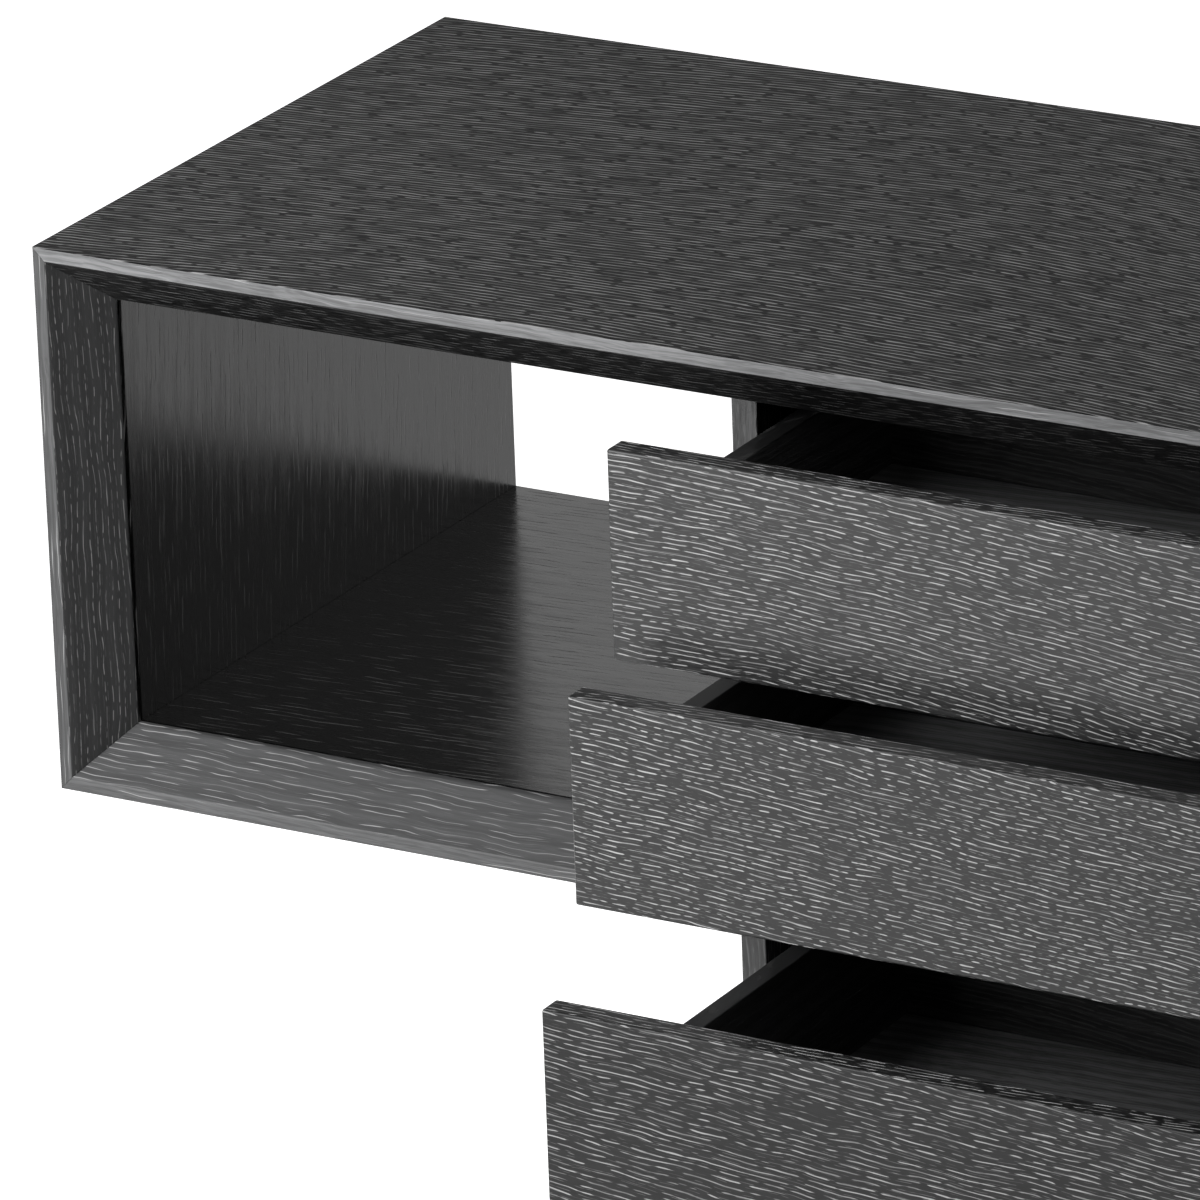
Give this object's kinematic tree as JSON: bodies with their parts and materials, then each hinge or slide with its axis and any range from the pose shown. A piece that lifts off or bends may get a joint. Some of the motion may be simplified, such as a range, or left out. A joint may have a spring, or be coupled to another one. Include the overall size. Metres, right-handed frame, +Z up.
{
  "type": "console table",
  "caption": "Long low box of mitred, bevelled limed-oak boards with open end bays and handle-less drawers, on a narrower drawer base with a recessed plinth.",
  "frame": {"origin": "on the floor under the middle of the long box, at the glide under the plinth's brace", "axes": "+X along the length to the right as seen from the front, +Y to the back, +Z up; the drawers open towards -Y"},
  "size_m": [1.8, 0.599, 0.76],
  "materials": {
    "limed_oak": "charcoal stained oak veneer with white limed pores, satin",
    "limed_oak_front": "charcoal stained oak veneer with white limed pores, satin",
    "dark_oak": "near black stained oak, matte",
    "inner_wood": "bare beech",
    "slide_steel": "zinc plated",
    "screw_steel": "zinc plated",
    "glide_nylon": "black nylon",
    "bumper_silicone": "clear silicone"
  },
  "bodies": {
    "carcass": {"top_panel": "limed_oak", "bottom_panel": "limed_oak", "left_end_panel": "limed_oak", "right_end_panel": "limed_oak", "mitre_splines": "inner_wood", "left_divider": "limed_oak", "right_divider": "limed_oak", "upper_back_panel": "dark_oak", "base_left_side": "limed_oak", "base_right_side": "limed_oak", "base_top_board": "dark_oak", "base_bottom_board": "dark_oak", "base_back_panel": "dark_oak", "carcass_dowels": "inner_wood", "carcass_screws": "screw_steel", "plinth_front": "dark_oak", "plinth_back": "dark_oak", "plinth_left_side": "dark_oak", "plinth_right_side": "dark_oak", "plinth_brace": "dark_oak", "floor_glides": "glide_nylon", "closing_bumpers": "bumper_silicone", "upper_cabinet_rails": "slide_steel", "lower_cabinet_rails": "slide_steel"},
    "drawer_1": {"drawer_1_front": "limed_oak_front", "drawer_1_box_front": "dark_oak", "drawer_1_left_side": "dark_oak", "drawer_1_right_side": "dark_oak", "drawer_1_back": "dark_oak", "drawer_1_bottom": "dark_oak", "drawer_1_runners": "slide_steel", "drawer_1_front_screws": "screw_steel"},
    "drawer_1_slide_middles": {"drawer_1_middle_rails": "slide_steel"},
    "drawer_2": {"drawer_2_front": "limed_oak_front", "drawer_2_box_front": "dark_oak", "drawer_2_left_side": "dark_oak", "drawer_2_right_side": "dark_oak", "drawer_2_back": "dark_oak", "drawer_2_bottom": "dark_oak", "drawer_2_runners": "slide_steel", "drawer_2_front_screws": "screw_steel"},
    "drawer_2_slide_middles": {"drawer_2_middle_rails": "slide_steel"},
    "drawer_3": {"drawer_3_front": "limed_oak_front", "drawer_3_box_front": "dark_oak", "drawer_3_left_side": "dark_oak", "drawer_3_right_side": "dark_oak", "drawer_3_back": "dark_oak", "drawer_3_bottom": "dark_oak", "drawer_3_runners": "slide_steel", "drawer_3_front_screws": "screw_steel"},
    "drawer_3_slide_middles": {"drawer_3_middle_rails": "slide_steel"},
    "drawer_4": {"drawer_4_front": "limed_oak_front", "drawer_4_box_front": "dark_oak", "drawer_4_left_side": "dark_oak", "drawer_4_right_side": "dark_oak", "drawer_4_back": "dark_oak", "drawer_4_bottom": "dark_oak", "drawer_4_runners": "slide_steel", "drawer_4_front_screws": "screw_steel"},
    "drawer_4_slide_middles": {"drawer_4_middle_rails": "slide_steel"}
  },
  "joints": [
    {"name": "drawer_1_slide", "type": "slide", "parent": "carcass", "child": "drawer_1", "axis": [0, -1, 0], "range_m": [-0.117, 0.083]},
    {"name": "drawer_1_middle_slide", "type": "slide", "parent": "carcass", "child": "drawer_1_slide_middles", "axis": [0, -1, 0], "range_m": [-0.0585, 0.0415]},
    {"name": "drawer_2_slide", "type": "slide", "parent": "carcass", "child": "drawer_2", "axis": [0, -1, 0], "range_m": [-0.167, 0.033]},
    {"name": "drawer_2_middle_slide", "type": "slide", "parent": "carcass", "child": "drawer_2_slide_middles", "axis": [0, -1, 0], "range_m": [-0.0835, 0.0165]},
    {"name": "drawer_3_slide", "type": "slide", "parent": "carcass", "child": "drawer_3", "axis": [0, -1, 0], "range_m": [-0.199, 0.101]},
    {"name": "drawer_3_middle_slide", "type": "slide", "parent": "carcass", "child": "drawer_3_slide_middles", "axis": [0, -1, 0], "range_m": [-0.0995, 0.0505]},
    {"name": "drawer_4_slide", "type": "slide", "parent": "carcass", "child": "drawer_4", "axis": [0, -1, 0], "range_m": [0, 0.3]},
    {"name": "drawer_4_middle_slide", "type": "slide", "parent": "carcass", "child": "drawer_4_slide_middles", "axis": [0, -1, 0], "range_m": [0, 0.15]}
  ],
  "couplings": [
    {"joint": "drawer_1_middle_slide", "follows": "drawer_1_slide", "ratio": 0.5},
    {"joint": "drawer_2_middle_slide", "follows": "drawer_2_slide", "ratio": 0.5},
    {"joint": "drawer_3_middle_slide", "follows": "drawer_3_slide", "ratio": 0.5},
    {"joint": "drawer_4_middle_slide", "follows": "drawer_4_slide", "ratio": 0.5}
  ]
}
